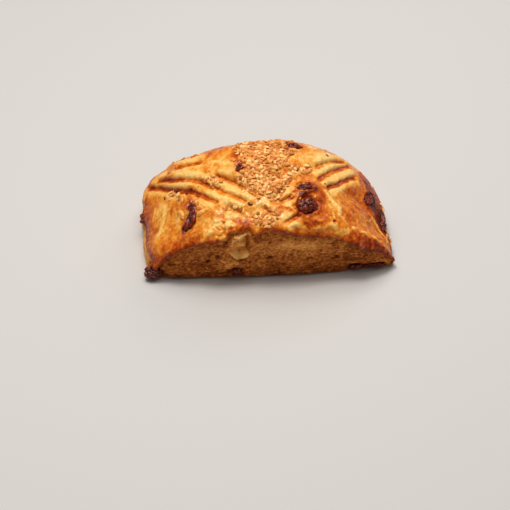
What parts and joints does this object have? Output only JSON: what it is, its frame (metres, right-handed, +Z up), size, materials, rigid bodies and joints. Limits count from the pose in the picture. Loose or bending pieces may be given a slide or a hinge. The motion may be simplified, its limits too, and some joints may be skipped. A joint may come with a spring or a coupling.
{
  "type": "raisin bun",
  "caption": "Long domed sweet bun with pale pulled-apart front and left faces, a fork-scored glazed crust, sesame seeds on the crown and raisins in the skin.",
  "frame": {"origin": "middle of the bun's box on the flat base it rests on", "axes": "+X along the bun's length to the right seen from its front face, +Y from the front face to the back, +Z up"},
  "size_m": [0.1304, 0.0692, 0.0545],
  "materials": {
    "crust": "glazed baked crust",
    "raisin": "wrinkled, sticky gloss"
  },
  "bodies": {
    "root": {"bun": "crust", "raisin_left": "raisin", "raisin_right_main": "raisin", "raisin_right_upper": "raisin", "raisin_crown_front": "raisin", "raisin_crown_back": "raisin", "raisin_right_high": "raisin", "raisin_right_low": "raisin", "raisin_foot_corner": "raisin", "raisin_foot_front": "raisin", "raisin_foot_middle": "raisin", "raisin_foot_tip": "raisin", "raisin_left_side": "raisin"}
  },
  "joints": []
}
